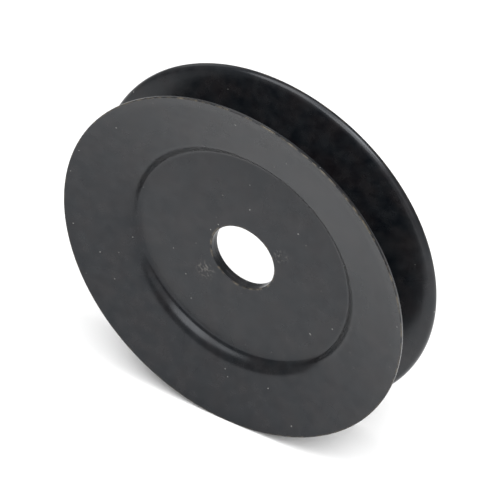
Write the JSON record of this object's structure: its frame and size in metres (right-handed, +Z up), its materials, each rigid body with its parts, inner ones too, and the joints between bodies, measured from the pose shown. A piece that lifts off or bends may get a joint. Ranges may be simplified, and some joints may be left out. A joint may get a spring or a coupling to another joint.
{
  "type": "v belt pulley",
  "caption": "V belt pulley pressed from two steel dishes welded back to back, with a plain round bore through a flat recessed web and a V groove between wide conical flanges.",
  "frame": {"origin": "centre of the pulley, on the bore axis and midway between the two rims", "axes": "+Y along the bore axis, out of the rear face, so the front face looks along -Y; +Z up when the bore axis is level"},
  "size_m": [0.1366, 0.024, 0.1366],
  "materials": {
    "black_paint": "satin black paint with a fine texture",
    "weld_steel": "bare steel melted and set between the two sheets"
  },
  "bodies": {
    "root": {"front_half": "black_paint", "rear_half": "black_paint", "weld_nugget_1": "weld_steel", "weld_nugget_2": "weld_steel", "weld_nugget_3": "weld_steel", "weld_nugget_4": "weld_steel", "weld_nugget_5": "weld_steel", "weld_nugget_6": "weld_steel", "weld_nugget_7": "weld_steel", "weld_nugget_8": "weld_steel"}
  },
  "joints": []
}
